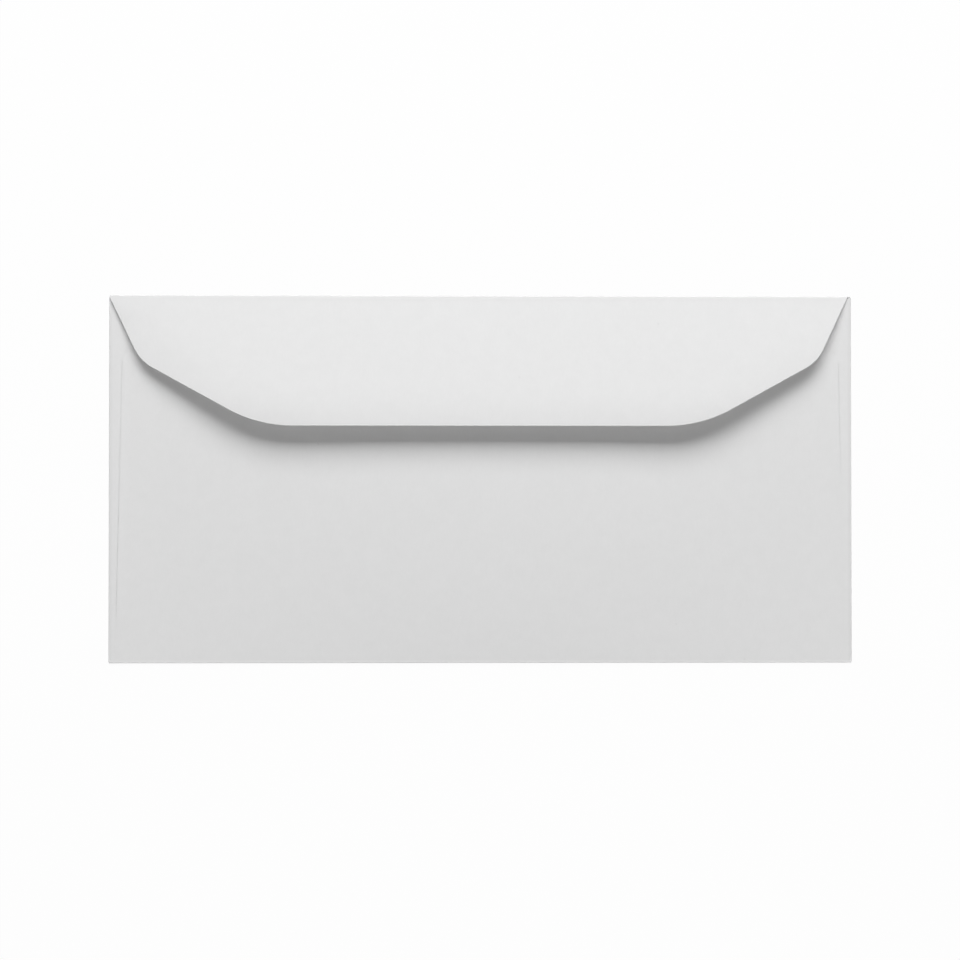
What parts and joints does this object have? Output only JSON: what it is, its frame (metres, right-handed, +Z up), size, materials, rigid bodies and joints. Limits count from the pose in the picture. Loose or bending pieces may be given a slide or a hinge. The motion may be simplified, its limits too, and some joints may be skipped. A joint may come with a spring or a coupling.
{
  "type": "paper envelope",
  "caption": "Long white paper envelope lying face down, with glued side seams, a bottom fold, an open throat and a wide gummed flap sprung a little open.",
  "frame": {"origin": "below the middle of the envelope, on the surface that its address side lies on", "axes": "+X along the long edges to the right as seen on the flap side, +Y from the bottom fold to the flap's fold, +Z up, out of the flap side"},
  "size_m": [0.221, 0.1092, 0.0073],
  "materials": {
    "paper": "matte"
  },
  "bodies": {
    "root": {"envelope": "paper"}
  },
  "joints": []
}
